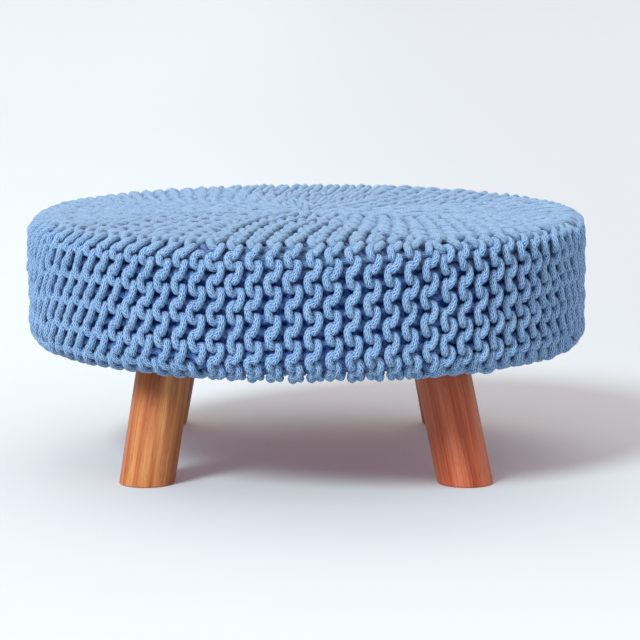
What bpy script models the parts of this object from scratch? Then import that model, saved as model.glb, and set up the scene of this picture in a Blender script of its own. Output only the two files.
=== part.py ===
"""Round footstool: a filled seat in a chunky garter-stitch knit, on four splayed round wooden legs.

Metres, +Z up. The origin is on the floor under the middle of the seat, and the front faces -Y.
The knit's ribs run from the middle of the top, over the edge, down the side and under the seat.
They are knitted in wedges: the first rib of a wedge reaches the middle in a slow spiral, and each
later one lies beside it and starts one stitch further out, so that the ribs keep nearly the same
width all the way across.
"""

import math

import bmesh
import bpy
from mathutils import Matrix, Vector

# The seat, measured over the crests of its ribs.
SEAT_RADIUS = 0.300
SEAT_TOP = 0.2660  # at the top edge
SEAT_BOTTOM = 0.1214
CROWN = 0.002  # the middle of the top stands this much above its edge
TOP_EDGE_RADIUS = 0.025
TOP_EDGE_UNEVEN = 0.0036  # the top edge is this much rounder at -X and sharper at +X
TOP_EDGE_SIDES = 0.003  # and this much sharper at -X and +X than between them
BOTTOM_EDGE_RADIUS = 0.028
BOTTOM_EDGE_UNEVEN = 0.003
BOTTOM_EDGE_SIDES = 0.0044
DIMPLE_DEPTH = 0.007  # where the knit is gathered in the middle
DIMPLE_RADIUS = 0.010

# The ribs.
WEDGES = 8
RIBS_PER_WEDGE = 12
FIRST_WEDGE = math.radians(-107.0)  # where the first rib of one wedge crosses the edge
SEAM_EXTRA = math.radians(0.8)  # a wedge's last rib is this much further from the next wedge
STRETCH = math.radians(0.9)  # the cover is pulled this much round towards +X
PULL = math.radians(2.4)  # and this much more on the +X side alone
SWIRL = 0.24  # a wedge's first rib turns this much clockwise each time its radius falls by e
EASE = 0.024  # over about this length the ribs ease from upright on the side to slanting on the top
RIB_ROOM = 0.7  # a short rib starts where it has this share of a rib's width to itself
RIB_DEPTH = 0.0075  # crest to valley
EDGE_STEPS = 4  # rings round each rounded edge

# The legs, all of one turned diameter.
LEG_RADIUS = 0.0285
LEG_SEGMENTS = 40
LEG_EDGE_BEVEL = 0.0018
SOCKET_DEPTH = 0.016  # how far a leg goes up into the seat
CLEARANCE = 0.0003
# The middle of each foot, and how far the leg leans along X and Y for each metre downwards.
LEGS = {
    # name: (foot X, foot Y, lean in X, lean in Y)
    "leg_front_left": (-0.1645, -0.1710, -0.150, -0.200),
    "leg_front_right": (0.1645, -0.1710, 0.205, -0.200),
    "leg_back_left": (-0.1680, 0.1710, -0.185, 0.200),
    "leg_back_right": (0.1610, 0.1710, 0.180, 0.200),
}

WEDGE_ANGLE = 2 * math.pi / WEDGES
RIB_ANGLE = (WEDGE_ANGLE - SEAM_EXTRA) / RIBS_PER_WEDGE
SHARP_ANGLE = math.radians(40.0)  # faces that meet at more than this are shaded as an edge


def material(name, colour, roughness):
    """A plain material with one colour."""
    made = bpy.data.materials.new(name)
    made.use_nodes = True
    shader = made.node_tree.nodes["Principled BSDF"]
    shader.inputs["Base Color"].default_value = (*colour, 1.0)
    shader.inputs["Roughness"].default_value = roughness
    shader.inputs["Metallic"].default_value = 0.0
    return made


def new_collection(name):
    made = bpy.data.collections.new(name)
    bpy.context.scene.collection.children.link(made)
    return made


def rib_start(index):
    """The knit's radius where the rib of that index in its wedge begins."""
    return SEAT_RADIUS * (index + RIB_ROOM) / RIBS_PER_WEDGE


def ribs_at(radius):
    """How many ribs one wedge has at that radius of the knit."""
    return max(1, sum(rib_start(index) <= radius + 1e-6 for index in range(RIBS_PER_WEDGE)))


def pulled_round(even):
    """Where a rib lies that would be at that angle if the cover were even all round."""
    return even + STRETCH * math.cos(even) + PULL * max(math.cos(even), 0.0) ** 2


def crest_angles(radius):
    """The angles of all the crests at that radius of the knit, with one list for each wedge."""
    spread = SEAT_RADIUS / radius
    first = FIRST_WEDGE - SWIRL * math.log(spread)
    return [
        [
            pulled_round(first + wedge * WEDGE_ANGLE + index * RIB_ANGLE * spread)
            for index in range(ribs_at(radius))
        ]
        for wedge in range(WEDGES)
    ]


def edge_radii(angle):
    """The roundness of the top and the bottom edge at that angle round the seat."""
    top = TOP_EDGE_RADIUS - TOP_EDGE_UNEVEN * math.cos(angle) - TOP_EDGE_SIDES * math.cos(2 * angle)
    bottom = BOTTOM_EDGE_RADIUS - BOTTOM_EDGE_UNEVEN * math.cos(angle)
    return top, bottom - BOTTOM_EDGE_SIDES * math.cos(2 * angle)


def dimple(radius):
    return DIMPLE_DEPTH * math.exp(-((radius / DIMPLE_RADIUS) ** 2) / 2)


def section_point(zone, place, angle):
    """(radius, height, outward normal in the section) of the crest surface.

    place is a radius in the zones "top" and "under", a turn from 0 to 1 round the two edges,
    and a share of the height, downwards, on the side.
    """
    top_edge, bottom_edge = edge_radii(angle)
    if zone == "top":
        reach = SEAT_RADIUS - TOP_EDGE_RADIUS
        height = SEAT_TOP + CROWN * (1 - (place / reach) ** 2) - dimple(place)
        return place * (SEAT_RADIUS - top_edge) / reach, height, (0.0, 1.0)
    if zone == "top_edge":
        turn = place * math.pi / 2
        radius = SEAT_RADIUS - top_edge * (1 - math.sin(turn))
        height = SEAT_TOP - top_edge * (1 - math.cos(turn))
        return radius, height, (math.sin(turn), math.cos(turn))
    if zone == "side":
        high, low = SEAT_TOP - top_edge, SEAT_BOTTOM + bottom_edge
        return SEAT_RADIUS, high + (low - high) * place, (1.0, 0.0)
    if zone == "bottom_edge":
        turn = place * math.pi / 2
        radius = SEAT_RADIUS - bottom_edge * (1 - math.cos(turn))
        height = SEAT_BOTTOM + bottom_edge * (1 - math.sin(turn))
        return radius, height, (math.cos(turn), -math.sin(turn))
    reach = SEAT_RADIUS - BOTTOM_EDGE_RADIUS
    return place * (SEAT_RADIUS - bottom_edge) / reach, SEAT_BOTTOM + dimple(place), (0.0, -1.0)


def distance_over(zone, place):
    """How far the ring is from the nearer middle, measured over the surface of an even seat."""
    if zone in ("top", "under"):
        return place
    if zone == "bottom_edge":
        return SEAT_RADIUS - BOTTOM_EDGE_RADIUS + BOTTOM_EDGE_RADIUS * (1 - place) * math.pi / 2
    turned = SEAT_RADIUS - TOP_EDGE_RADIUS + TOP_EDGE_RADIUS * math.pi / 2
    if zone == "top_edge":
        return turned - TOP_EDGE_RADIUS * (1 - place) * math.pi / 2
    return turned + place * (SEAT_TOP - TOP_EDGE_RADIUS - SEAT_BOTTOM - BOTTOM_EDGE_RADIUS)


def knit_radius(distance):
    """The knit's radius that far from a middle: the distance itself, easing to the seat's radius."""
    return (distance + SEAT_RADIUS - math.hypot(distance - SEAT_RADIUS, EASE)) / 2


def knit_distance(radius):
    """How far from a middle the knit has that radius."""
    return radius + EASE**2 / 4 / (SEAT_RADIUS - radius)


def rings():
    """The (zone, place) of every ring, from the middle of the top to the middle of the underside."""
    turns = [step / EDGE_STEPS for step in range(EDGE_STEPS + 1)]
    top_reach = SEAT_RADIUS - TOP_EDGE_RADIUS
    under_reach = SEAT_RADIUS - BOTTOM_EDGE_RADIUS
    starts = [knit_distance(rib_start(index)) for index in range(RIBS_PER_WEDGE)]
    top = [start for start in starts[1:] if start < top_reach]
    under = [start for start in starts[2::2] if start < under_reach]
    return (
        [("top", DIMPLE_RADIUS)]
        + [("top", distance) for distance in top]
        + [("top_edge", turn) for turn in turns]
        + [("side", 0.5)]
        + [("bottom_edge", turn) for turn in turns]
        + [("under", distance) for distance in reversed(under)]
        + [("under", DIMPLE_RADIUS)]
    )


def ring_points(zone, place):
    """The ring's points as one list for each wedge, crest and valley by turns."""
    radius = knit_radius(distance_over(zone, place))
    crests = crest_angles(radius)
    depth = RIB_DEPTH * min(1.0, radius / (4 * DIMPLE_RADIUS))
    made = []
    for wedge, angles in enumerate(crests):
        following = crests[(wedge + 1) % WEDGES][0] + (2 * math.pi if wedge == WEDGES - 1 else 0)
        points = []
        for angle, after in zip(angles, angles[1:] + [following]):
            for turned, drop in ((angle, 0.0), ((angle + after) / 2, depth)):
                reach, height, normal = section_point(zone, place, turned)
                reach -= drop * normal[0]
                height -= drop * normal[1]
                points.append(Vector((reach * math.cos(turned), reach * math.sin(turned), height)))
        made.append(points)
    return made


def join_wedge(mesh, first, second):
    """Faces between the same wedge of two rings. The longer list's extra points fan from the end."""
    shorter = min(len(first), len(second))
    for index in range(shorter - 1):
        mesh.faces.new((first[index], first[index + 1], second[index + 1], second[index]))
    corner = first[shorter - 1] if len(first) == shorter else second[shorter - 1]
    longer = second if len(first) == shorter else first
    for index in range(shorter - 1, len(longer) - 1):
        mesh.faces.new((corner, longer[index], longer[index + 1]))


def knitted_seat():
    """The filled seat as one closed body, with its ribs raised."""
    mesh = bmesh.new()
    rows = [
        [[mesh.verts.new(point) for point in wedge] for wedge in ring_points(zone, place)]
        for zone, place in rings()
    ]
    for upper, lower in zip(rows, rows[1:]):
        for wedge in range(WEDGES):
            following = (wedge + 1) % WEDGES
            join_wedge(mesh, upper[wedge] + upper[following][:1], lower[wedge] + lower[following][:1])
    middles = (
        (rows[0], Vector((0, 0, SEAT_TOP + CROWN - DIMPLE_DEPTH))),
        (rows[-1], Vector((0, 0, SEAT_BOTTOM + DIMPLE_DEPTH))),
    )
    for ring, middle in middles:
        centre = mesh.verts.new(middle)
        loop = [vertex for wedge in ring for vertex in wedge]
        for vertex, after in zip(loop, loop[1:] + loop[:1]):
            mesh.faces.new((centre, vertex, after))
    bmesh.ops.recalc_face_normals(mesh, faces=mesh.faces)
    data = bpy.data.meshes.new("knitted_seat")
    mesh.to_mesh(data)
    mesh.free()
    data.shade_smooth()
    data.set_sharp_from_angle(angle=SHARP_ANGLE)
    return bpy.data.objects.new("knitted_seat", data)


def leaning_cylinder(name, lean, radius, bottom, top, bevel):
    """A round bar that leans, with its two ends cut level.

    lean is how far it moves along X and Y for each metre of height. Its cross-section is round
    square to its own axis, so it is longer the way it leans when it is cut level.
    """
    mesh = bmesh.new()
    bmesh.ops.create_cone(
        mesh, cap_ends=True, segments=LEG_SEGMENTS, radius1=radius, radius2=radius, depth=top - bottom
    )
    bmesh.ops.translate(mesh, verts=mesh.verts, vec=(0, 0, (top + bottom) / 2))
    if bevel:
        rim = [edge for edge in mesh.edges if all(abs(vertex.co.z - bottom) < 1e-6 for vertex in edge.verts)]
        bmesh.ops.bevel(mesh, geom=rim, offset=bevel, segments=2, profile=0.5, affect="EDGES")
    direction = Vector((lean[0], lean[1], 0))
    stretch = Matrix.Scale(math.hypot(1, direction.length), 4, direction.normalized())
    shear = Matrix.Identity(4)
    shear[0][2], shear[1][2] = -lean[0], -lean[1]
    bmesh.ops.transform(mesh, matrix=shear @ stretch, verts=mesh.verts)
    data = bpy.data.meshes.new(name)
    mesh.to_mesh(data)
    mesh.free()
    data.shade_smooth()
    data.set_sharp_from_angle(angle=SHARP_ANGLE)
    return bpy.data.objects.new(name, data)


def main():
    for obj in list(bpy.data.objects):
        bpy.data.objects.remove(obj, do_unlink=True)
    stool = new_collection("knitted_footstool")
    cutters = new_collection("cutters")
    cutters.hide_render = True
    yarn = material("blue_cotton_cord", (0.19, 0.36, 0.71), 0.9)
    wood = material("oiled_wood", (0.47, 0.20, 0.08), 0.45)

    seat = knitted_seat()
    seat.data.materials.append(yarn)
    stool.objects.link(seat)

    leg_top = SEAT_BOTTOM + SOCKET_DEPTH
    for name, (foot_x, foot_y, *lean) in LEGS.items():
        foot = Vector((foot_x, foot_y, 0))
        leg = leaning_cylinder(name, lean, LEG_RADIUS, 0.0, leg_top, LEG_EDGE_BEVEL)
        leg.location = foot
        leg.data.materials.append(wood)
        stool.objects.link(leg)

        room, floor = LEG_RADIUS + CLEARANCE, SEAT_BOTTOM - SOCKET_DEPTH
        socket = leaning_cylinder(f"socket_{name}", lean, room, floor, leg_top + CLEARANCE, 0)
        socket.location = foot
        socket.hide_render = True
        socket.display_type = "WIRE"
        cutters.objects.link(socket)
        cut = seat.modifiers.new(socket.name, "BOOLEAN")
        cut.operation = "DIFFERENCE"
        cut.object = socket


main()
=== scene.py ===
"""Round knitted footstool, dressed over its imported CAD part.

The seat is a stuffed body in a chunky garter-stitch knit, and it stands on four splayed round
wooden legs. Every row of the knit is modelled as one run of cord that loops in and out along the
ribs. Metres, +Z up. The front faces -Y, and the origin is on the floor under the middle of the seat.
"""

import logging
import math
from collections.abc import Callable
from dataclasses import dataclass, field
from enum import Enum

import bpy
import numpy as np
from mathutils import Euler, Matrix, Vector


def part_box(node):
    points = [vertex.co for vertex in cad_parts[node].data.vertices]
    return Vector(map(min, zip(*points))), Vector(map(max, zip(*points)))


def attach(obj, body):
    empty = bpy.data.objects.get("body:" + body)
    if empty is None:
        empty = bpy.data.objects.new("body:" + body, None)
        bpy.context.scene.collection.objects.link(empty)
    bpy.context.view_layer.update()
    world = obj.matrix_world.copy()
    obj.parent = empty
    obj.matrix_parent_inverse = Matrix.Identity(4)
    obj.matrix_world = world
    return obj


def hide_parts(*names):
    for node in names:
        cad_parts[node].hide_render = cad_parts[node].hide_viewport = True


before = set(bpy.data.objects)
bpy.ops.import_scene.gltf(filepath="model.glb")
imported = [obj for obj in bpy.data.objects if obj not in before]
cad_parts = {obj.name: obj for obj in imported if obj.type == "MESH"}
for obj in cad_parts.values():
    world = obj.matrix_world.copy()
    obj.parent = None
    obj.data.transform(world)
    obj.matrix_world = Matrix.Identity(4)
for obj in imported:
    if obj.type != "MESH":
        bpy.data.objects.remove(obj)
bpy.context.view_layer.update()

logging.basicConfig(level=logging.INFO, format="%(message)s")
log = logging.getLogger("footstool")

MM = 0.001
TURN = 2 * math.pi
SHARP = math.radians(40)  # edges that turn more than this show as edges
LEVEL = 1e-5  # what differs by less than this counts as level


def display_colour(red: float, green: float, blue: float) -> tuple[float, float, float, float]:
    """The linear colour, with an opacity of one, that a screen shows as these values from 0 to 255."""

    def linear(value: float) -> float:
        """One channel without the screen's curve."""
        share = value / 255
        return share / 12.92 if share <= 0.04045 else ((share + 0.055) / 1.055) ** 2.4

    return (linear(red), linear(green), linear(blue), 1.0)


class Value:
    """A number in a material that changes over the surface and takes part in sums as usual."""

    def __init__(self, sheet: "NodeSheet", socket: bpy.types.NodeSocket) -> None:
        """Wraps the output that carries the number."""
        self.sheet = sheet
        self.socket = socket

    def __add__(self, other: "Value | float") -> "Value":
        """self + other."""
        return self.sheet.sum("ADD", self, other)

    def __radd__(self, other: float) -> "Value":
        """other + self."""
        return self.sheet.sum("ADD", other, self)

    def __sub__(self, other: "Value | float") -> "Value":
        """self - other."""
        return self.sheet.sum("SUBTRACT", self, other)

    def __rsub__(self, other: float) -> "Value":
        """other - self."""
        return self.sheet.sum("SUBTRACT", other, self)

    def __mul__(self, other: "Value | float") -> "Value":
        """self * other."""
        return self.sheet.sum("MULTIPLY", self, other)

    def __rmul__(self, other: float) -> "Value":
        """other * self."""
        return self.sheet.sum("MULTIPLY", other, self)

    def __truediv__(self, other: "Value | float") -> "Value":
        """self / other."""
        return self.sheet.sum("DIVIDE", self, other)

    def __pow__(self, other: "Value | float") -> "Value":
        """self ** other."""
        return self.sheet.sum("POWER", self, other)

    def __abs__(self) -> "Value":
        """abs(self)."""
        return self.sheet.sum("ABSOLUTE", self)

    def fraction(self) -> "Value":
        """What is left of the number over its whole part."""
        return self.sheet.sum("FRACT", self)

    def between(self, low: float, high: float) -> "Value":
        """How far the number is from low to high, from 0 to 1, with soft ends."""
        node = self.sheet.node(
            "ShaderNodeMapRange",
            {"interpolation_type": "SMOOTHSTEP"},
            {"Value": self, "From Min": low, "From Max": high},
        )
        return Value(self.sheet, node.outputs["Result"])


Source = Value | bpy.types.NodeSocket | tuple | float


class NodeSheet:
    """One material's nodes, round its Principled shader."""

    def __init__(self, name: str) -> None:
        """Makes the material and keeps its shader at hand."""
        self.material = bpy.data.materials.new(name)
        self.material.use_nodes = True
        self.tree = self.material.node_tree
        self.shader = self.tree.nodes["Principled BSDF"]

    def put(self, socket: bpy.types.NodeSocket, value: Source) -> None:
        """Sets an input to a plain value, or links it where the value is an output."""
        if isinstance(value, Value):
            value = value.socket
        if isinstance(value, bpy.types.NodeSocket):
            self.tree.links.new(value, socket)
        else:
            socket.default_value = value

    def node(self, kind: str, settings: dict | None = None, inputs: dict | None = None) -> bpy.types.Node:
        """Adds one node.

        Args:
            kind: The node's type.
            settings: Its own settings, made before its inputs are filled.
            inputs: What its inputs get, by name or number.

        Returns:
            The node.
        """
        made = self.tree.nodes.new(kind)
        for name, value in (settings or {}).items():
            if name == "stops":
                self.set_stops(made.color_ramp, value)
            else:
                setattr(made, name, value)
        for name, value in (inputs or {}).items():
            self.put(made.inputs[name], value)
        return made

    @staticmethod
    def set_stops(ramp: bpy.types.ColorRamp, stops: tuple) -> None:
        """Gives a colour ramp its stops as (place, colour) pairs, from left to right."""
        while len(ramp.elements) > 1:
            ramp.elements.remove(ramp.elements[-1])
        ramp.elements[0].position, ramp.elements[0].color = stops[0]
        for place, colour in stops[1:]:
            ramp.elements.new(place).color = colour

    def sum(self, operation: str, *values: Value | float) -> Value:
        """One Math node over these numbers."""
        made = self.node("ShaderNodeMath", {"operation": operation}, dict(enumerate(values)))
        return Value(self, made.outputs[0])

    def blend(self, share: Value | float, first: Source, second: Source) -> bpy.types.NodeSocket:
        """A colour that goes from first to second as share goes from 0 to 1."""
        inputs = {"Factor": share, 6: first, 7: second}
        return self.node("ShaderNodeMix", {"data_type": "RGBA"}, inputs).outputs[2]

    def mapped(self, vector: Source, scale: tuple = (1, 1, 1), **places: tuple) -> bpy.types.NodeSocket:
        """A vector moved, turned or stretched by a Mapping node."""
        inputs = {"Vector": vector, "Scale": scale}
        inputs.update({name.capitalize(): value for name, value in places.items()})
        return self.node("ShaderNodeMapping", None, inputs).outputs["Vector"]

    def noise(self, vector: Source, scale: float, detail: float = 2.0, rough: float = 0.5) -> Value:
        """Smooth noise of about that many bumps for each unit."""
        inputs = {"Vector": vector, "Scale": scale, "Detail": detail, "Roughness": rough}
        return Value(self, self.node("ShaderNodeTexNoise", None, inputs).outputs[0])

    def object_place(self) -> bpy.types.NodeSocket:
        """The place on the object, in metres."""
        return self.node("ShaderNodeTexCoord").outputs["Object"]

    def parts(self, vector: Source) -> list[Value]:
        """The three numbers of a vector."""
        outputs = self.node("ShaderNodeSeparateXYZ", None, {"Vector": vector}).outputs
        return [Value(self, output) for output in outputs]

    def carried_map(self, name: str) -> bpy.types.NodeSocket:
        """The place on one of the mesh's maps."""
        return self.node("ShaderNodeUVMap", {"uv_map": name}).outputs["UV"]

    def painted(self, name: str) -> Value:
        """A number that the mesh carries."""
        return Value(self, self.node("ShaderNodeAttribute", {"attribute_name": name}).outputs["Fac"])

    def relief(self, height: Value, depth: float) -> bpy.types.NodeSocket:
        """A normal that shows height as relief of that depth in metres."""
        inputs = {"Height": height, "Distance": depth, "Strength": 1.0}
        return self.node("ShaderNodeBump", None, inputs).outputs["Normal"]

    def finish(self, **inputs: Source) -> bpy.types.Material:
        """Fills the shader's inputs, named with _ for each space, and returns the material."""
        for name, value in inputs.items():
            self.put(self.shader.inputs[name.replace("_", " ").title().replace("Ior", "IOR")], value)
        return self.material


class Marks(str, Enum):
    """What the knit's mesh carries for its finish."""

    DEPTH = "depth"
    TONE = "tone"
    CORD_MAP = "cord"
    BAKE_MAP = "OFBake"


@dataclass(frozen=True)
class CordFinish:
    """A soft blue cord, itself a fine knitted tube, with painted light and shade: paler crowns, bluer deep
    parts, a greyer top.
    """

    name: str = "blue knitted cord"
    # The pale and the darker blue that the cord goes between: partly its own uneven tone, partly painted
    # light on the braid's legs and painted shade in its creases.
    light: tuple = display_colour(171, 214, 252)
    body: tuple = display_colour(52, 108, 194)
    # Painted shade: cord that lies deep, and more so in the hollows, gets a stronger, more saturated blue
    # that stands in for the blue shade between the stitches.
    deep: tuple = display_colour(30, 98, 202)
    hollow: tuple = display_colour(26, 110, 226)
    columns: float = 5.0  # stitches of the braid round the cord
    stitch: float = 3.9 * MM
    slope: float = 1.1  # how far each half of the braid's V runs along the cord, in stitches
    groove: float = 1.9 * MM
    fluff_scale: float = 430.0
    patch_scale: float = 38.0
    # Where the fading of the crowns sets in, and at what depth the painted shade of the cord that lies
    # deep and in the hollows sets in.
    fade_from: tuple[float, float] = (0.75, 1.8)
    deep_from: tuple[float, float] = (0.3, 0.8)
    hollow_from: tuple[float, float] = (0.75, 1.2)
    shadow: float = 0.85
    # Between these heights the side turns into the top, where rubbing leaves the cord's relief flatter,
    # and a greyer, duller colour is painted as sheen and shade.
    wear_and_top_shade_from: tuple[float, float] = (248 * MM, 263 * MM)
    wear_and_top_shade: float = 0.6
    painted_top_sheen_shade: tuple = display_colour(118, 140, 160)
    # Painted light: above these heights the light reaches in, and the cord that lies deep is painted a
    # plainer blue in place of its painted shade.
    lit_from: tuple[float, float] = (226 * MM, 246 * MM)
    lit: tuple = display_colour(72, 110, 164)

    def material(self) -> bpy.types.Material:
        """Builds the finish.

        Returns:
            The material, which reads the cord map and the depth and tone marks.
        """
        sheet = NodeSheet(self.name)
        around, along, _ = sheet.parts(sheet.carried_map(Marks.CORD_MAP.value))
        place = sheet.object_place()
        _, _, high = sheet.parts(place)
        depth, tone = sheet.painted(Marks.DEPTH.value), sheet.painted(Marks.TONE.value)

        # The braid is columns of stitches that lean in a V, with a crease on each side of a column.
        across = abs((around * self.columns).fraction() - 0.5) * 2
        row = (along / self.stitch + across * self.slope).fraction()
        leg = 1 - (row * 2 - 1) ** 2
        crease = (1 - across) ** 6 + across**6
        fluff = sheet.noise(place, self.fluff_scale, 3.0, 0.65)
        worn_and_top_shade = high.between(*self.wear_and_top_shade_from) * self.wear_and_top_shade
        height = (leg * 0.9 + fluff * 0.9 - crease * 0.8) * (1 - worn_and_top_shade)

        # The colour weighs the stitch's own tone, wide patches and fluff, which are the cord's own colour,
        # with the braid, whose creases are painted darker and legs paler: painted shade and light in place
        # of what its fine relief would show.
        patches = sheet.noise(place, self.patch_scale)
        braid = (leg * 0.9 - crease * 0.6) * (1 - worn_and_top_shade) + worn_and_top_shade * 0.5
        tone_and_braid_shade = tone * 0.12 + patches * 0.2 + fluff * 1.7 + braid
        side_colour_with_braid_shade = sheet.blend(tone_and_braid_shade.between(*self.fade_from), self.body, self.light)
        # Painted sheen and shade: towards the top the crowns turn a greyer, duller blue.
        crown = sheet.blend(worn_and_top_shade, side_colour_with_braid_shade, self.painted_top_sheen_shade)
        lit = high.between(*self.lit_from)
        deep = sheet.blend(lit, self.deep, self.lit)
        hollow = sheet.blend(lit, self.hollow, self.lit)
        # Painted shade: by its depth mark the cord turns to the shade colours where it lies deep and in
        # the hollows.
        shaded = sheet.blend(depth.between(*self.deep_from) * self.shadow, crown, deep)
        return sheet.finish(
            base_color=sheet.blend(depth.between(*self.hollow_from) * self.shadow, shaded, hollow),
            roughness=0.92,
            specular_ior_level=0.3,
            sheen_weight=0.2,
            sheen_roughness=0.4,
            sheen_tint=display_colour(190, 210, 240),
            normal=sheet.relief(height, self.groove),
        )


@dataclass(frozen=True)
class FillingFinish:
    """The blue cloth of the stuffed body, which shows in the gaps of the knit."""

    name: str = "navy stuffing cover"
    colour: tuple = display_colour(50, 118, 222)
    shade: tuple = display_colour(54, 72, 170)
    # Painted light: above these heights the light reaches in through the knit, and the cloth is painted a
    # plainer blue.
    lit_from: tuple[float, float] = (218 * MM, 240 * MM)
    lit: tuple = display_colour(66, 98, 148)
    patch_scale: float = 60.0
    patch_from: tuple[float, float] = (0.3, 0.7)
    fibre_scale: float = 1500.0
    fibre: float = 0.3 * MM

    def material(self) -> bpy.types.Material:
        """Builds the finish and returns it."""
        sheet = NodeSheet(self.name)
        place = sheet.object_place()
        _, _, high = sheet.parts(place)
        patches = sheet.noise(place, self.patch_scale, 4.0, 0.65)
        cloth = sheet.blend(patches.between(*self.patch_from), self.shade, self.colour)
        return sheet.finish(
            base_color=sheet.blend(high.between(*self.lit_from), cloth, self.lit),
            roughness=1.0,
            specular_ior_level=0.1,
            normal=sheet.relief(sheet.noise(place, self.fibre_scale), self.fibre),
        )


@dataclass(frozen=True)
class Streaks:
    """One kind of streak in wood, as noise that is drawn out along the grain."""

    scale: float  # how many there are in a metre across the grain
    drawn: float  # how many there are along it for each one across
    detail: float = 1.0
    rough: float = 0.5

    def on(self, sheet: NodeSheet, place: bpy.types.NodeSocket, shift: float = 0.0) -> Value:
        """The streaks at a place whose third number runs along the grain."""
        drawn_out = sheet.mapped(place, (1, 1, self.drawn), location=(shift, shift, 0))
        return sheet.noise(drawn_out, self.scale, self.detail, self.rough)


@dataclass(frozen=True)
class WoodFinish:
    """Satin wood with its grain along the leg."""

    name: str
    pale: tuple
    warm: tuple
    dark: tuple
    lean: tuple[float, float]
    shift: float = 0.0  # moves the streaks, so that no two legs are alike
    wide: Streaks = Streaks(95.0, 0.045, 3.0, 0.55)
    fine: Streaks = Streaks(620.0, 0.02, 3.0, 0.6)
    pores: Streaks = Streaks(1500.0, 0.05)
    drift: Streaks = Streaks(16.0, 0.35)
    # Where along the grain's tone each colour is, and where the pores set in.
    stops: tuple[float, float, float] = (0.40, 0.57, 0.77)
    pores_from: tuple[float, float] = (0.60, 0.72)
    groove: float = 0.12 * MM

    def material(self) -> bpy.types.Material:
        """Builds the finish and returns it."""
        sheet = NodeSheet(self.name)
        axis = Vector((*self.lean, -1)).normalized()
        upright = tuple(axis.rotation_difference(Vector((0, 0, -1))).to_euler())
        straight = sheet.mapped(sheet.object_place(), rotation=upright)
        wide, fine = self.wide.on(sheet, straight, self.shift), self.fine.on(sheet, straight)
        dots = self.pores.on(sheet, straight).between(*self.pores_from)
        grain = wide * 0.5 + fine * 0.28 + self.drift.on(sheet, straight) * 0.42
        stops = tuple(zip(self.stops, (self.dark, self.warm, self.pale)))
        tone = sheet.node("ShaderNodeValToRGB", {"stops": stops}, {"Fac": grain}).outputs["Color"]
        return sheet.finish(
            base_color=sheet.blend(dots * 0.45, tone, self.dark),
            roughness=fine * 0.12 + 0.42,
            specular_ior_level=0.3,
            coat_weight=0.06,
            coat_roughness=0.35,
            normal=sheet.relief(fine * 0.6 - dots * 0.5, self.groove),
        )


@dataclass(frozen=True)
class PaperFinish:
    """Pale studio paper with painted shade, a little darker far away and more so to the right, and a faint
    painted glow that lifts its shadows.
    """

    name: str = "studio paper"
    # Painted shade: the paper goes from near to a little darker far away, and darker still to the right.
    near: tuple = display_colour(182, 197, 201)
    far: tuple = display_colour(175, 189, 194)
    right: tuple = display_colour(168, 181, 185)
    # Painted light: a faint pinkish glow from the paper lifts the stool's shadow on it.
    painted_shadow_lift: tuple = display_colour(255, 174, 170)
    painted_shadow_lift_strength: float = 0.12
    # The places, in metres, between which it changes.
    far_from: tuple[float, float] = (0.0, 5.0)
    right_from: tuple[float, float] = (-0.6, 0.6)
    right_behind: tuple[float, float] = (-1.4, 1.1)

    def material(self) -> bpy.types.Material:
        """Builds the finish and returns it."""
        sheet = NodeSheet(self.name)
        across, along, _ = sheet.parts(sheet.object_place())
        right_painted_shade_share = across.between(*self.right_from) * along.between(*self.right_behind)
        plain = sheet.blend(along.between(*self.far_from), self.near, self.far)
        return sheet.finish(
            base_color=sheet.blend(right_painted_shade_share, plain, self.right),
            roughness=1.0,
            specular_ior_level=0.0,
            emission_color=self.painted_shadow_lift,
            emission_strength=self.painted_shadow_lift_strength,
        )


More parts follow.
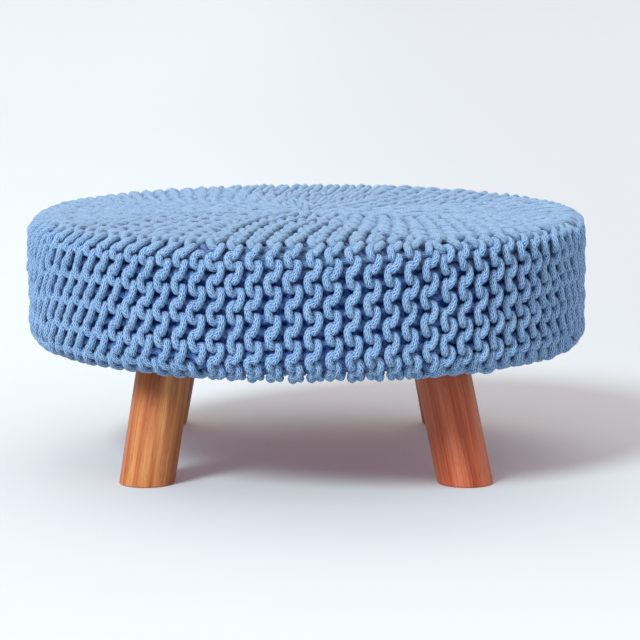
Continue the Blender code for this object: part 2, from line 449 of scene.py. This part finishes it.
@dataclass
class SeatForm:
    """The surface over the crests of the ribs, and how the ribs run over it.

    A place on it is a distance in metres, measured over the surface from the middle of the top
    along an even seat, and an angle round the seat.
    """

    radius: float
    top: float
    bottom: float
    # The radius of each edge, how much sharper it is on the right, and how much on both sides.
    top_edge: float = 25 * MM
    top_uneven: float = 3.6 * MM
    top_sides: float = 3 * MM
    bottom_edge: float = 28 * MM
    bottom_uneven: float = 3 * MM
    bottom_sides: float = 4.4 * MM
    dimple_depth: float = 7 * MM
    dimple_radius: float = 10 * MM
    crown: float = 2 * MM  # how far the top rises over its edge, outside the dimple
    wedges: int = 8
    ribs: int = 12  # in each wedge
    first_wedge: float = math.radians(-107.0)
    seam_extra: float = math.radians(0.8)
    # How far the knit is shifted round the seat at its right end, and then on its right half only.
    stretch: float = math.radians(0.9)
    pull: float = math.radians(2.4)
    swirl: float = 0.24  # how far the ribs turn, for each time their radius shrinks e-fold
    inmost: float = 4 * MM  # within this radius they turn no further
    ease: float = 24 * MM  # how softly the ribs go over from the top to the side
    room: float = 0.7  # the share of its full width that those before it leave where a rib begins
    end_room: float = 0.2  # what it gets on top of that
    least_room: float = 0.12  # the least share of its full width that it has
    most_slant: float = 0.6  # the least share of its width that a slant leaves

    @classmethod
    def from_frame(cls) -> "SeatForm":
        """Takes the seat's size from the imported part."""
        low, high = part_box("knitted_seat")
        return cls(radius=(high[0] - low[0]) / 2, top=high[2] - cls.crown, bottom=low[2])

    @property
    def wedge_angle(self) -> float:
        """How much of the seat one wedge takes at the edge."""
        return TURN / self.wedges

    @property
    def rib_angle(self) -> float:
        """The turn from one rib to the next at the edge. The seam takes a little more."""
        return (self.wedge_angle - self.seam_extra) / self.ribs

    def edges(self, angle: np.ndarray) -> tuple[np.ndarray, np.ndarray]:
        """The radius of the top's edge and of the underside's edge at these angles."""
        to_side, twice = np.cos(angle), np.cos(2 * angle)
        top = self.top_edge - self.top_uneven * to_side - self.top_sides * twice
        return top, self.bottom_edge - self.bottom_uneven * to_side - self.bottom_sides * twice

    def zone_ends(self, angle: np.ndarray) -> tuple[np.ndarray, ...]:
        """The distances where the top, its edge, the side and the lower edge end at these angles."""
        edge, foot = self.edges(angle)
        top = self.radius - edge
        turned = top + edge * math.pi / 2
        side = turned + self.top - edge - self.bottom - foot
        return top, turned, side, side + foot * math.pi / 2

    @property
    def length(self) -> float:
        """The whole distance from the middle of the top to the middle of the underside."""
        return self.zone_ends(math.pi / 2)[-1] + self.radius - self.edges(math.pi / 2)[1]

    def knit_radius(self, distance: np.ndarray) -> np.ndarray:
        """The radius that the ribs' law uses, which eases to the seat's radius on the side."""
        near = np.minimum(distance, self.length - distance)
        return (near + self.radius - np.hypot(near - self.radius, self.ease)) / 2

    def rib_start(self, index: int) -> float:
        """How far from the middle the rib of that index in its wedge begins."""
        radius = self.radius * (index + self.room) / self.ribs
        return radius + self.ease**2 / 4 / (self.radius - radius)

    def rib_place(self, wedge: int, index: int, distance: np.ndarray) -> np.ndarray:
        """The angle round the seat of a rib at these distances."""
        spread = self.radius / np.maximum(self.knit_radius(distance), self.inmost)
        first = self.first_wedge - self.swirl * np.log(spread)
        even = first + wedge * self.wedge_angle + index * self.rib_angle * spread
        return even + self.stretch * np.cos(even) + self.pull * np.maximum(np.cos(even), 0) ** 2

    def rib_room(self, index: int, distance: np.ndarray) -> np.ndarray:
        """The share of its full width that a rib has at these distances."""
        ribs_wide = self.knit_radius(distance) / self.radius * self.ribs
        return np.clip(ribs_wide - index + self.end_room, self.least_room, 1.0)

    def dimple(self, radius: np.ndarray) -> np.ndarray:
        """How deep the gathered middle of the top or of the underside is sunk at this radius."""
        return self.dimple_depth * np.exp(-((radius / self.dimple_radius) ** 2) / 2)

    def surface(self, distance: np.ndarray, angle: np.ndarray) -> tuple[np.ndarray, np.ndarray]:
        """Points on the surface and the normals there.

        Args:
            distance: How far each point is from the middle of the top.
            angle: Its angle round the seat.

        Returns:
            The points and the unit normals, one row each.
        """
        edge, foot = self.edges(angle)
        ends = top_end, edge_end, side_end, under_start = self.zone_ends(angle)
        reach = np.clip(distance, 0, top_end)
        turn = np.clip((distance - top_end) / edge, 0, math.pi / 2)
        fall = np.clip(distance - edge_end, 0, side_end - edge_end)
        tuck = np.clip((distance - side_end) / foot, 0, math.pi / 2)
        home = np.clip((self.length - distance) / (self.length - under_start), 0, 1) * (self.radius - foot)

        zones = [distance < end for end in ends]
        radius = np.select(
            zones,
            [
                reach,
                self.radius - edge * (1 - np.sin(turn)),
                np.full_like(distance, self.radius),
                self.radius - foot * (1 - np.cos(tuck)),
            ],
            home,
        )
        height = np.select(
            zones,
            [
                self.top + self.crown * (1 - (reach / top_end) ** 2) - self.dimple(reach),
                self.top - edge * (1 - np.cos(turn)),
                self.top - edge - fall,
                self.bottom + foot * (1 - np.sin(tuck)),
            ],
            self.bottom + self.dimple(home),
        )
        tilt = np.select(
            zones,
            [np.zeros_like(distance), turn, np.full_like(distance, math.pi / 2), math.pi / 2 + tuck],
            math.pi,
        )
        outward = np.stack([np.cos(angle), np.sin(angle)], axis=1)
        points = np.column_stack([outward * radius[:, None], height])
        normals = np.column_stack([outward * np.sin(tilt)[:, None], np.cos(tilt)])
        return points, normals

    def rib_frame(self, wedge: int, index: int, distance: np.ndarray) -> tuple[np.ndarray, ...]:
        """How a rib lies on the seat at these distances.

        Args:
            wedge: Which wedge the rib is in.
            index: Which rib of the wedge it is.
            distance: How far each place is from the middle of the top.

        Returns:
            The places on its crest, the normals there, the directions to its right, and how much
            of its full width it has there.
        """
        angle = self.rib_place(wedge, index, distance)
        points, normals = self.surface(distance, angle)
        step = 1 * MM
        ahead, _ = self.surface(distance - step, self.rib_place(wedge, index, distance - step))
        straight, _ = self.surface(distance - step, angle)
        upward = ahead - points
        upward -= normals * np.sum(upward * normals, axis=1, keepdims=True)
        travel = np.maximum(np.linalg.norm(upward, axis=1, keepdims=True), 1e-9)
        upright = np.linalg.norm(straight - points, axis=1, keepdims=True)
        sideways = np.cross(upward / travel, normals)
        slant = np.clip(upright / travel, self.most_slant, 1.0)[:, 0]
        return points, normals, sideways, slant * self.rib_room(index, distance)


@dataclass
class Strand:
    """One run of cord, ready to be given its thickness."""

    centres: np.ndarray
    facing: np.ndarray
    depth: np.ndarray
    tone: np.ndarray
    share: np.ndarray

    @property
    def stitches(self) -> int:
        """How many stitches it has."""
        return int(self.share[-1])


class Way(Enum):
    """Which of a rib's two rows of cord: their loops open to opposite sides."""

    RIGHT = "right"
    LEFT = "left"


@dataclass(frozen=True)
class Loop:
    """The path of one stitch's cord in one of a rib's two rows."""

    shift: float  # how far down the rib its row is moved, in stitches
    points: tuple[tuple[float, float, float], ...]


# Each row's loop in millimetres up the rib, to its right, and outwards from its crest.
LOOPS = {
    Way.RIGHT: Loop(
        0.07,
        (
            (-13.75, -14.8, -17.6),  # the middle of the part that lies at the back
            (-7.5, -14.2, -16.6),
            (-4.8, -10.8, -14.6),
            (-7.4, -6.2, -12.4),  # under the other row's loop
            (-9.4, -2.8, -8.6),
            (-8.8, 0.0, -5.2),  # the lower end of the part that shows, over the crest
            (-5.4, 2.3, -3.8),
            (-1.0, 4.3, -4.0),
            (3.4, 5.2, -4.9),
            (7.0, 4.8, -6.6),
            (8.8, 3.2, -9.6),  # its upper end, which comes out of the valley
            (8.2, -2.4, -12.0),
            (4.8, -9.6, -14.0),
            (7.2, -13.8, -16.4),
        ),
    ),
    Way.LEFT: Loop(
        -0.40,
        (
            (13.75, 14.8, -17.6),
            (7.5, 14.2, -16.6),
            (4.8, 10.8, -14.6),
            (7.2, 6.0, -12.8),
            (9.0, 1.8, -10.8),
            (8.6, -1.6, -7.8),  # the upper end of the part that shows
            (6.4, -4.2, -5.8),
            (2.8, -5.6, -4.8),
            (-1.4, -5.2, -4.1),
            (-5.4, -4.0, -3.8),  # its lower end, over the crest
            (-8.2, -2.4, -6.0),
            (-8.0, 2.6, -10.8),
            (-4.8, 9.6, -14.0),
            (-7.2, 13.8, -16.4),
        ),
    ),
}

# How many millimetres higher the rows lie on the first and on the last rib of each wedge.
ROW_LIFTS = ((0, 13), (-9, 0), (-4, 3), (5, -3), (2, 6), (-6, 1), (3, -2), (5, 0))


@dataclass
class GarterKnit:
    """The knitted cover: a wedge of ribs, each with two rows of looping cord."""

    form: SeatForm
    cord: float = 8.0 * MM
    stitch: float = 27.5 * MM
    depth: float = 16.0 * MM
    crest: float = -3.8 * MM
    top_relief: float = 0.95  # how much of its depth the knit keeps on the top
    seam_size: float = 1.1  # how much wider the loops are beside the wedges' seams
    end_reach: float = 0.45  # how far past its rib a row may go on, in stitches
    end_gap: float = 1.0 * MM
    # How much the stitches vary in width, and in their place down, outwards from and across the rib.
    uneven_width: float = 0.05
    uneven_down: float = 1.0 * MM
    uneven_out: float = 0.55 * MM
    uneven_across: float = 0.8 * MM
    sides: int = 8
    steps_seen: int = 22  # rings in each stitch, and then in each stitch of the underside
    steps_under: int = 12
    bake_columns: int = 36
    bake_inset: float = 0.04
    deepest: float = 1.3  # the largest depth mark
    seed: int = 7  # of the stitches' small unevenness
    finish: CordFinish = field(default_factory=CordFinish)

    @property
    def stitch_length(self) -> float:
        """The length of a stitch that fits a whole number of times along a rib."""
        return self.form.length / round(self.form.length / self.stitch)

    def follow_loop(self, share: np.ndarray, way: Way) -> tuple[np.ndarray, np.ndarray, np.ndarray]:
        """Where a row's cord is on its ribs, as a smooth curve through the loop's points.

        Args:
            share: How many loops from the row's start, going down the rib.
            way: Which of the rib's two rows it is.

        Returns:
            How far up, to the right and outwards each place is from the middle of the first loop.
        """
        points = np.array(LOOPS[way].points) * MM
        length = self.stitch_length
        points[:, 0] *= length / self.stitch
        if way is Way.RIGHT:
            points = np.roll(points[::-1], 1, axis=0)
            points[0, 0] += length
        count = len(points)
        spot = share * count
        whole = np.floor(spot).astype(int)
        part = (spot - whole)[:, None]

        def point(step: int) -> np.ndarray:
            """The point that is so many after the last one passed."""
            lap, number = np.divmod(whole + step, count)
            found = points[number].copy()
            found[:, 0] -= lap * length
            return found

        before, here, after, beyond = (point(step) for step in (-1, 0, 1, 2))
        slope = (after - before) / 2
        bend = before - 2.5 * here + 2 * after - beyond / 2
        turn = 1.5 * (here - after) + (beyond - before) / 2
        return tuple((here + part * (slope + part * (bend + part * turn))).T)

    def row_span(self, wedge: int, index: int, way: Way) -> tuple[float, int]:
        """How far from the middle of the top a row begins, and how many stitches it has.

        Args:
            wedge: Which wedge the rib is in.
            index: Which rib of the wedge it belongs to.
            way: Which of the rib's two rows it is.

        Returns:
            The distance of its beginning, and its number of stitches.
        """
        form, length = self.form, self.stitch_length
        lift = np.interp(index / (form.ribs - 1), (0, 1), ROW_LIFTS[wedge]) * MM
        rib_start = form.rib_start(index)
        first = max(0, int(round((rib_start + lift) / length - self.end_reach)))
        begin = first * length - lift
        stitches = int(round((form.length - rib_start - begin) / length + self.end_reach))
        return begin + LOOPS[way].shift * length, stitches

    def row(self, wedge: int, index: int, way: Way, chance: np.random.Generator) -> Strand:
        """One row of cord.

        Args:
            wedge: Which wedge the rib is in.
            index: Which rib of the wedge it belongs to.
            way: Which of the rib's two rows it is.
            chance: Where the small unevenness comes from.

        Returns:
            The run of cord, from one end of the rib to the other.
        """
        form, length = self.form, self.stitch_length
        begin, stitches = self.row_span(wedge, index, way)
        top_end, side_start, _, under_start = form.zone_ends(math.pi / 2)
        seen = begin + length * np.arange(stitches) < under_start + length
        steps = np.where(seen, self.steps_seen, self.steps_under)
        turns = [number + np.arange(count) / count for number, count in enumerate(steps)]
        share = np.append(np.concatenate(turns), stitches)
        up, right, out = self.follow_loop(share, way)
        middles = np.arange(stitches) + 0.5

        def wander(size: float) -> np.ndarray:
            """A small uneven amount that changes from stitch to stitch."""
            return np.interp(share, middles, chance.normal(0, size, stitches))

        by_seam = index in (0, form.ribs - 1)
        right = right * ((self.seam_size if by_seam else 1) + wander(self.uneven_width))
        distance = begin + length / 2 - up + wander(self.uneven_down)
        relief = np.interp(distance, (top_end, side_start), (self.top_relief, 1))
        outward = self.crest + (out - self.crest) * relief + wander(self.uneven_out)
        distance = np.clip(distance, self.end_gap, form.length - self.end_gap)
        points, normals, sideways, room = form.rib_frame(wedge, index, distance)
        right = right * room + wander(self.uneven_across)
        tone = np.interp(share, middles, chance.uniform(0, 1, stitches))
        centres = points + sideways * right[:, None] + normals * outward[:, None]
        sunk = np.clip(-(out + self.cord / 2) / self.depth, 0, 1)
        return Strand(centres, normals, sunk, tone, share)

    def thicken(self, strand: Strand) -> tuple[np.ndarray, np.ndarray, np.ndarray]:
        """Gives a run of cord its round section.

        Args:
            strand: The run of cord.

        Returns:
            Its points ring by ring, how deep each lies, and the distance along the cord of each ring.
        """
        centres = strand.centres
        tangent = np.gradient(centres, axis=0)
        tangent /= np.linalg.norm(tangent, axis=1, keepdims=True)
        facing = strand.facing - tangent * np.sum(strand.facing * tangent, axis=1, keepdims=True)
        facing /= np.linalg.norm(facing, axis=1, keepdims=True)
        beside = np.cross(tangent, facing)
        angles = np.arange(self.sides)[None, :, None] / self.sides * TURN
        radius = self.cord / 2
        ring = (facing[:, None, :] * np.cos(angles) + beside[:, None, :] * np.sin(angles)) * radius
        lift = np.sum(ring * strand.facing[:, None, :], axis=2)
        depth = np.clip(strand.depth[:, None] + (radius - lift) / self.depth, 0, self.deepest)
        steps = np.linalg.norm(np.diff(centres, axis=0), axis=1)
        return centres[:, None, :] + ring, depth, np.concatenate([[0.0], np.cumsum(steps)])

    def tube_faces(self, rings: int, first: int) -> list[list[int]]:
        """The faces of a closed tube of that many rings: quads ring by ring, then its two ends.

        Args:
            rings: How many rings of points it has.
            first: The number of its first point.

        Returns:
            The points of each face.
        """
        sides = self.sides
        ring = first + np.arange(rings - 1)[:, None] * sides
        side = np.arange(sides)[None, :]
        after = (side + 1) % sides
        quads = np.stack([ring + side, ring + after, ring + sides + after, ring + sides + side], axis=2)
        last = first + (rings - 1) * sides
        ends = [list(range(first, first + sides))[::-1], list(range(last, last + sides))]
        return quads.reshape(-1, 4).tolist() + ends

    def face_corners(
        self, left: np.ndarray, right: np.ndarray, start: np.ndarray, stop: np.ndarray
    ) -> np.ndarray:
        """Where a tube's faces lie on a map. Each of its two ends lies in one spot.

        Args:
            left: Where each quad begins round the cord.
            right: Where it ends round the cord.
            start: Where it begins along the cord.
            stop: Where it ends along the cord.

        Returns:
            The places of all the faces' corners, in the order of tube_faces.
        """
        left, right, start, stop = np.broadcast_arrays(left, right, start, stop)
        quads = np.stack([left, start, right, start, right, stop, left, stop], axis=2)
        begun = np.tile([left[0, 0], start[0, 0]], (self.sides, 1))
        ended = np.tile([left[-1, 0], stop[-1, 0]], (self.sides, 1))
        return np.concatenate([quads.reshape(-1, 2), begun, ended])

    def cord_corners(self, along: np.ndarray) -> np.ndarray:
        """The corners on the cord map: the share of a turn round the cord, and metres along it."""
        side = np.arange(self.sides)[None, :] / self.sides
        return self.face_corners(side, side + 1 / self.sides, along[:-1, None], along[1:, None])

    def bake_corners(self, share: np.ndarray, first: int, rows: int) -> np.ndarray:
        """The corners on the bake map, where each stitch has a cell of its own.

        Args:
            share: How many stitches each ring is from the start of its run.
            first: The number of the run's first cell.
            rows: How many rows of cells the map has.

        Returns:
            The places of all the faces' corners.
        """

        def spread(part: np.ndarray) -> np.ndarray:
            """A share of a cell, kept a little inside it."""
            return self.bake_inset + part * (1 - 2 * self.bake_inset)

        whole = np.floor(share[:-1])
        line, column = np.divmod(whole + first, self.bake_columns)
        line, column = line[:, None], column[:, None]
        side = np.arange(self.sides)[None, :] / self.sides
        begun, ended = (share[:-1] - whole)[:, None], (share[1:] - whole)[:, None]
        return self.face_corners(
            (column + spread(side)) / self.bake_columns,
            (column + spread(side + 1 / self.sides)) / self.bake_columns,
            (line + spread(begun)) / rows,
            (line + spread(ended)) / rows,
        )

    def wedge_piece(self, wedge: int) -> bpy.types.Object:
        """All the rows of one wedge as one mesh.

        Args:
            wedge: Which wedge.

        Returns:
            The piece, with its maps and marks but no material.
        """
        chance = np.random.default_rng(self.seed + wedge)
        strands = [self.row(wedge, index, way, chance) for index in range(self.form.ribs) for way in Way]
        bake_rows = math.ceil(sum(strand.stitches for strand in strands) / self.bake_columns)
        points, faces, cord_map, bake_map, depths, tones = [], [], [], [], [], []
        point_count = cell_count = 0
        for strand in strands:
            rings, depth, along = self.thicken(strand)
            points.append(rings.reshape(-1, 3))
            depths.append(depth.ravel())
            tones.append(np.repeat(strand.tone, self.sides))
            faces += self.tube_faces(len(rings), point_count)
            cord_map.append(self.cord_corners(along))
            bake_map.append(self.bake_corners(strand.share, cell_count, bake_rows))
            point_count += depth.size
            cell_count += strand.stitches

        mesh = bpy.data.meshes.new(f"knit_wedge_{wedge + 1}")
        mesh.from_pydata(np.concatenate(points).tolist(), [], faces)
        for name, corners in ((Marks.BAKE_MAP, bake_map), (Marks.CORD_MAP, cord_map)):
            layer = mesh.uv_layers.new(name=name.value)
            layer.data.foreach_set("uv", np.concatenate(corners).astype(np.float32).ravel())
        for name, values in ((Marks.DEPTH, depths), (Marks.TONE, tones)):
            mark = mesh.attributes.new(name.value, "FLOAT", "POINT")
            mark.data.foreach_set("value", np.concatenate(values).astype(np.float32))
        mesh.shade_smooth()
        mesh.update()
        piece = bpy.data.objects.new(mesh.name, mesh)
        bpy.context.scene.collection.objects.link(piece)
        return piece

    def build(self) -> list[bpy.types.Object]:
        """Makes and dresses the whole cover, one piece for each wedge."""
        material = self.finish.material()
        pieces = []
        for wedge in range(self.form.wedges):
            piece = self.wedge_piece(wedge)
            piece.data.materials.append(material)
            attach(piece, "root")
            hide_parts("knitted_seat")
            log.info("%s: %d faces", piece.name, len(piece.data.polygons))
            pieces.append(piece)
        return pieces


def nothing_selected() -> None:
    """Leaves object mode with nothing selected."""
    if bpy.context.object and bpy.context.object.mode != "OBJECT":
        bpy.ops.object.mode_set(mode="OBJECT")
    bpy.ops.object.select_all(action="DESELECT")


def cylinder(
    name: str, sides: int, radius: float, depth: float, middle: Vector, turn: Euler | None = None
) -> bpy.types.Object:
    """A closed cylinder of that name, with its points in the scene's frame and nothing else selected."""
    nothing_selected()
    bpy.ops.mesh.primitive_cylinder_add(
        vertices=sides,
        radius=radius,
        depth=depth,
        end_fill_type="NGON",
        location=middle,
        rotation=turn or Euler(),
    )
    made = bpy.context.object
    made.name = made.data.name = name
    bpy.ops.object.transform_apply(location=True, rotation=True, scale=True)
    return made


def select_edges(obj: bpy.types.Object, wanted: Callable[[Vector, Vector], bool]) -> None:
    """Goes to edit mode with only the wanted edges selected.

    Args:
        obj: The object to edit.
        wanted: A test that takes an edge's two end points.
    """
    bpy.ops.object.mode_set(mode="EDIT")
    bpy.ops.mesh.select_all(action="DESELECT")
    bpy.ops.mesh.select_mode(type="EDGE")
    bpy.ops.object.mode_set(mode="OBJECT")
    mesh = obj.data
    for edge in mesh.edges:
        ends = [mesh.vertices[number].co for number in edge.vertices]
        edge.select = bool(wanted(*ends))
    bpy.ops.object.mode_set(mode="EDIT")


def smooth_by_angle(obj: bpy.types.Object) -> None:
    """Leaves edit mode, shades the object smooth but for its sharp edges, and reports its faces."""
    bpy.ops.object.mode_set(mode="OBJECT")
    bpy.ops.object.shade_smooth_by_angle(angle=SHARP)
    log.info("%s: %d faces", obj.name, len(obj.data.polygons))


@dataclass
class StuffedBody:
    """The filled body behind the knit, which shows only in its gaps."""

    form: SeatForm
    inset: float = 18.5 * MM
    sides: int = 64
    edge: float = 13 * MM
    edge_steps: int = 4
    rings: int = 3  # of faces round the middle of the top and of the underside
    finish: FillingFinish = field(default_factory=FillingFinish)

    def build(self) -> bpy.types.Object:
        """Makes and dresses the body."""
        form = self.form
        top, bottom = form.top - self.inset, form.bottom + self.inset
        middle = Vector((0, 0, (top + bottom) / 2))
        body = cylinder("stuffed_body", self.sides, form.radius - self.inset, top - bottom, middle)
        select_edges(body, lambda first, second: abs(first.z - second.z) < LEVEL)
        bpy.ops.mesh.bevel(offset=self.edge, segments=self.edge_steps, profile=0.5)
        bpy.ops.mesh.select_all(action="DESELECT")
        bpy.ops.object.mode_set(mode="OBJECT")
        for face in body.data.polygons:
            face.select = abs(face.normal.z) > 1 - LEVEL
        bpy.ops.object.mode_set(mode="EDIT")
        bpy.ops.mesh.select_mode(type="FACE")
        for _ in range(self.rings):
            bpy.ops.mesh.inset(thickness=form.radius / (self.rings + 2), use_individual=True)
        smooth_by_angle(body)
        body.data.materials.append(self.finish.material())
        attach(body, "root")
        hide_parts("knitted_seat")
        return body


@dataclass
class Leg:
    """One round leg that leans outwards and stands on a foot cut level."""

    node: str
    foot: tuple[float, float]
    lean: tuple[float, float]
    finish: WoodFinish
    top: float
    radius: float = 28.5 * MM
    sides: int = 96
    edge: float = 1.8 * MM
    edge_steps: int = 4

    def build(self) -> bpy.types.Object:
        """Makes and dresses the leg."""
        axis = Vector((*self.lean, -1)).normalized()
        middle = Vector((*self.foot, 0)) - axis * (self.top / 2 / abs(axis.z))
        turn = Vector((0, 0, -1)).rotation_difference(axis).to_euler()
        name = self.node.replace("leg_", "wooden_leg_")
        spare = 3 * self.radius  # what the cuts take off each end
        leg = cylinder(name, self.sides, self.radius, self.top + 2 * spare, middle, turn)
        for height, side in ((0.0, -1), (self.top, 1)):
            bpy.ops.object.mode_set(mode="EDIT")
            bpy.ops.mesh.select_all(action="SELECT")
            bpy.ops.mesh.bisect(
                plane_co=(0, 0, height), plane_no=(0, 0, side), use_fill=True, clear_outer=True
            )
            bpy.ops.object.mode_set(mode="OBJECT")
        select_edges(leg, lambda first, second: max(abs(first.z), abs(second.z)) < LEVEL)
        bpy.ops.mesh.bevel(offset=self.edge, segments=self.edge_steps, profile=0.5)
        smooth_by_angle(leg)
        leg.data.materials.append(self.finish.material())
        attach(leg, "root")
        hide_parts(self.node)
        return leg


@dataclass
class LegSet:
    """The four legs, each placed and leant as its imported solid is.

    The wood of the left ones is more orange, and that of the right ones redder.
    """

    orange: tuple = (
        display_colour(200, 138, 84),
        display_colour(158, 84, 42),
        display_colour(86, 26, 8),
    )
    red: tuple = (
        display_colour(195, 124, 94),
        display_colour(172, 82, 50),
        display_colour(84, 8, 2),
    )
    near: float = 0.1 * MM  # how far from its ends a leg's points count as on them
    streak_shift: float = 0.13

    def place(self, node: str) -> tuple[tuple[float, float], tuple[float, float], float]:
        """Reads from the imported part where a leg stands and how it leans.

        Args:
            node: The leg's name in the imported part.

        Returns:
            The middle of its foot, its lean outwards for each metre of height, and its height.
        """
        low, high = (np.array(corner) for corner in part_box(node))
        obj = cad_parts[node]
        points = np.array([obj.matrix_world @ vertex.co for vertex in obj.data.vertices])
        foot = points[points[:, 2] < low[2] + self.near]
        head = points[points[:, 2] > high[2] - self.near]
        middle = (foot.max(axis=0) + foot.min(axis=0)) / 2
        upper = (head.max(axis=0) + head.min(axis=0)) / 2
        lean = (middle - upper)[:2] / (high[2] - low[2])
        return (middle[0], middle[1]), (lean[0], lean[1]), float(high[2])

    def build(self) -> list[bpy.types.Object]:
        """Makes and dresses the four legs."""
        made = []
        for number, node in enumerate(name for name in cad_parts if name.startswith("leg_")):
            foot, lean, top = self.place(node)
            tones = self.orange if "left" in node else self.red
            wood = WoodFinish(f"wood {node}", *tones, lean=lean, shift=self.streak_shift * number)
            made.append(Leg(node, foot, lean, wood, top).build())
        return made


@dataclass(frozen=True)
class Lamp:
    """An even soft light from one side."""

    name: str
    source: tuple[float, float, float]  # the direction that it comes from
    strength: float
    softness: float  # how wide it looks from the seat, in degrees
    colour: tuple
    away: float = 3.0

    def hang(self) -> None:
        """Puts it in the scene."""
        lamp = bpy.data.lights.new(self.name, "SUN")
        lamp.energy, lamp.angle, lamp.color = self.strength, math.radians(self.softness), self.colour[:3]
        hung = bpy.data.objects.new(self.name, lamp)
        bpy.context.scene.collection.objects.link(hung)
        hung.location = Vector(self.source) * self.away
        hung.rotation_euler = Vector(self.source).to_track_quat("Z", "Y").to_euler()


@dataclass
class Studio:
    """A pale floor that curves up far behind the stool, soft light and the camera."""

    reach: float = 24.0
    rim: float = 6.0
    bend: float = 3.0
    sides: int = 96
    bend_steps: int = 16
    near: float = 0.1  # how far from its rim or its level the floor's edges count as on it
    paper: PaperFinish = field(default_factory=PaperFinish)
    lamps: tuple[Lamp, ...] = (
        Lamp("key", (-0.49, -0.58, 0.66), 3.3, 20.0, display_colour(248, 253, 255)),
        Lamp("back", (-0.16, 0.89, 0.42), 2.05, 80.0, display_colour(255, 248, 228)),
    )
    air: tuple = display_colour(255, 246, 250)
    air_strength: float = 0.88
    lens: float = 163.4
    sensor: float = 36.0
    eye: tuple[float, float, float] = (0.0143, -3.117, 0.604)
    pitch: float = 0.1463

    def floor(self) -> None:
        """A wide round floor whose rim bends up all round."""
        nothing_selected()
        bpy.ops.mesh.primitive_circle_add(
            vertices=self.sides, radius=self.reach, fill_type="NOTHING", location=(0, 0, 0)
        )
        floor = bpy.context.object
        floor.name = floor.data.name = "studio_floor"
        select_edges(floor, lambda first, second: first.length > self.reach - self.near)
        bpy.ops.mesh.extrude_edges_move(TRANSFORM_OT_translate={"value": (0, 0, self.rim)})
        bpy.ops.object.mode_set(mode="OBJECT")
        select_edges(floor, lambda first, second: max(first.z, second.z) < self.near)
        bpy.ops.mesh.edge_face_add()
        bpy.ops.mesh.bevel(offset=self.bend, segments=self.bend_steps, profile=0.5)
        bpy.ops.mesh.select_all(action="SELECT")
        bpy.ops.mesh.normals_make_consistent(inside=True)
        bpy.ops.object.mode_set(mode="OBJECT")
        bpy.ops.object.shade_smooth()
        floor.data.materials.append(self.paper.material())

    def world(self) -> None:
        """The soft light from all round."""
        world = bpy.data.worlds.new("studio air")
        bpy.context.scene.world = world
        bpy.context.scene.view_settings.view_transform = "Standard"
        world.use_nodes = True
        air = world.node_tree.nodes["Background"]
        air.inputs["Color"].default_value = self.air
        air.inputs["Strength"].default_value = self.air_strength

    def camera(self) -> None:
        """The camera at the photograph's viewing angle."""
        lens = bpy.data.cameras.new("camera")
        lens.lens, lens.sensor_width = self.lens, self.sensor
        camera = bpy.data.objects.new("camera", lens)
        bpy.context.scene.collection.objects.link(camera)
        camera.location = self.eye
        camera.rotation_euler = Euler((math.pi / 2 - self.pitch, 0, 0))
        bpy.context.scene.camera = camera

    def build(self) -> None:
        """Sets up all of it."""
        self.floor()
        for lamp in self.lamps:
            lamp.hang()
        self.world()
        self.camera()
        log.info("studio: floor, lights and camera")


def main() -> None:
    """Builds the footstool and its studio."""
    form = SeatForm.from_frame()
    StuffedBody(form).build()
    GarterKnit(form).build()
    LegSet().build()
    Studio().build()


if __name__ == "__main__":
    main()
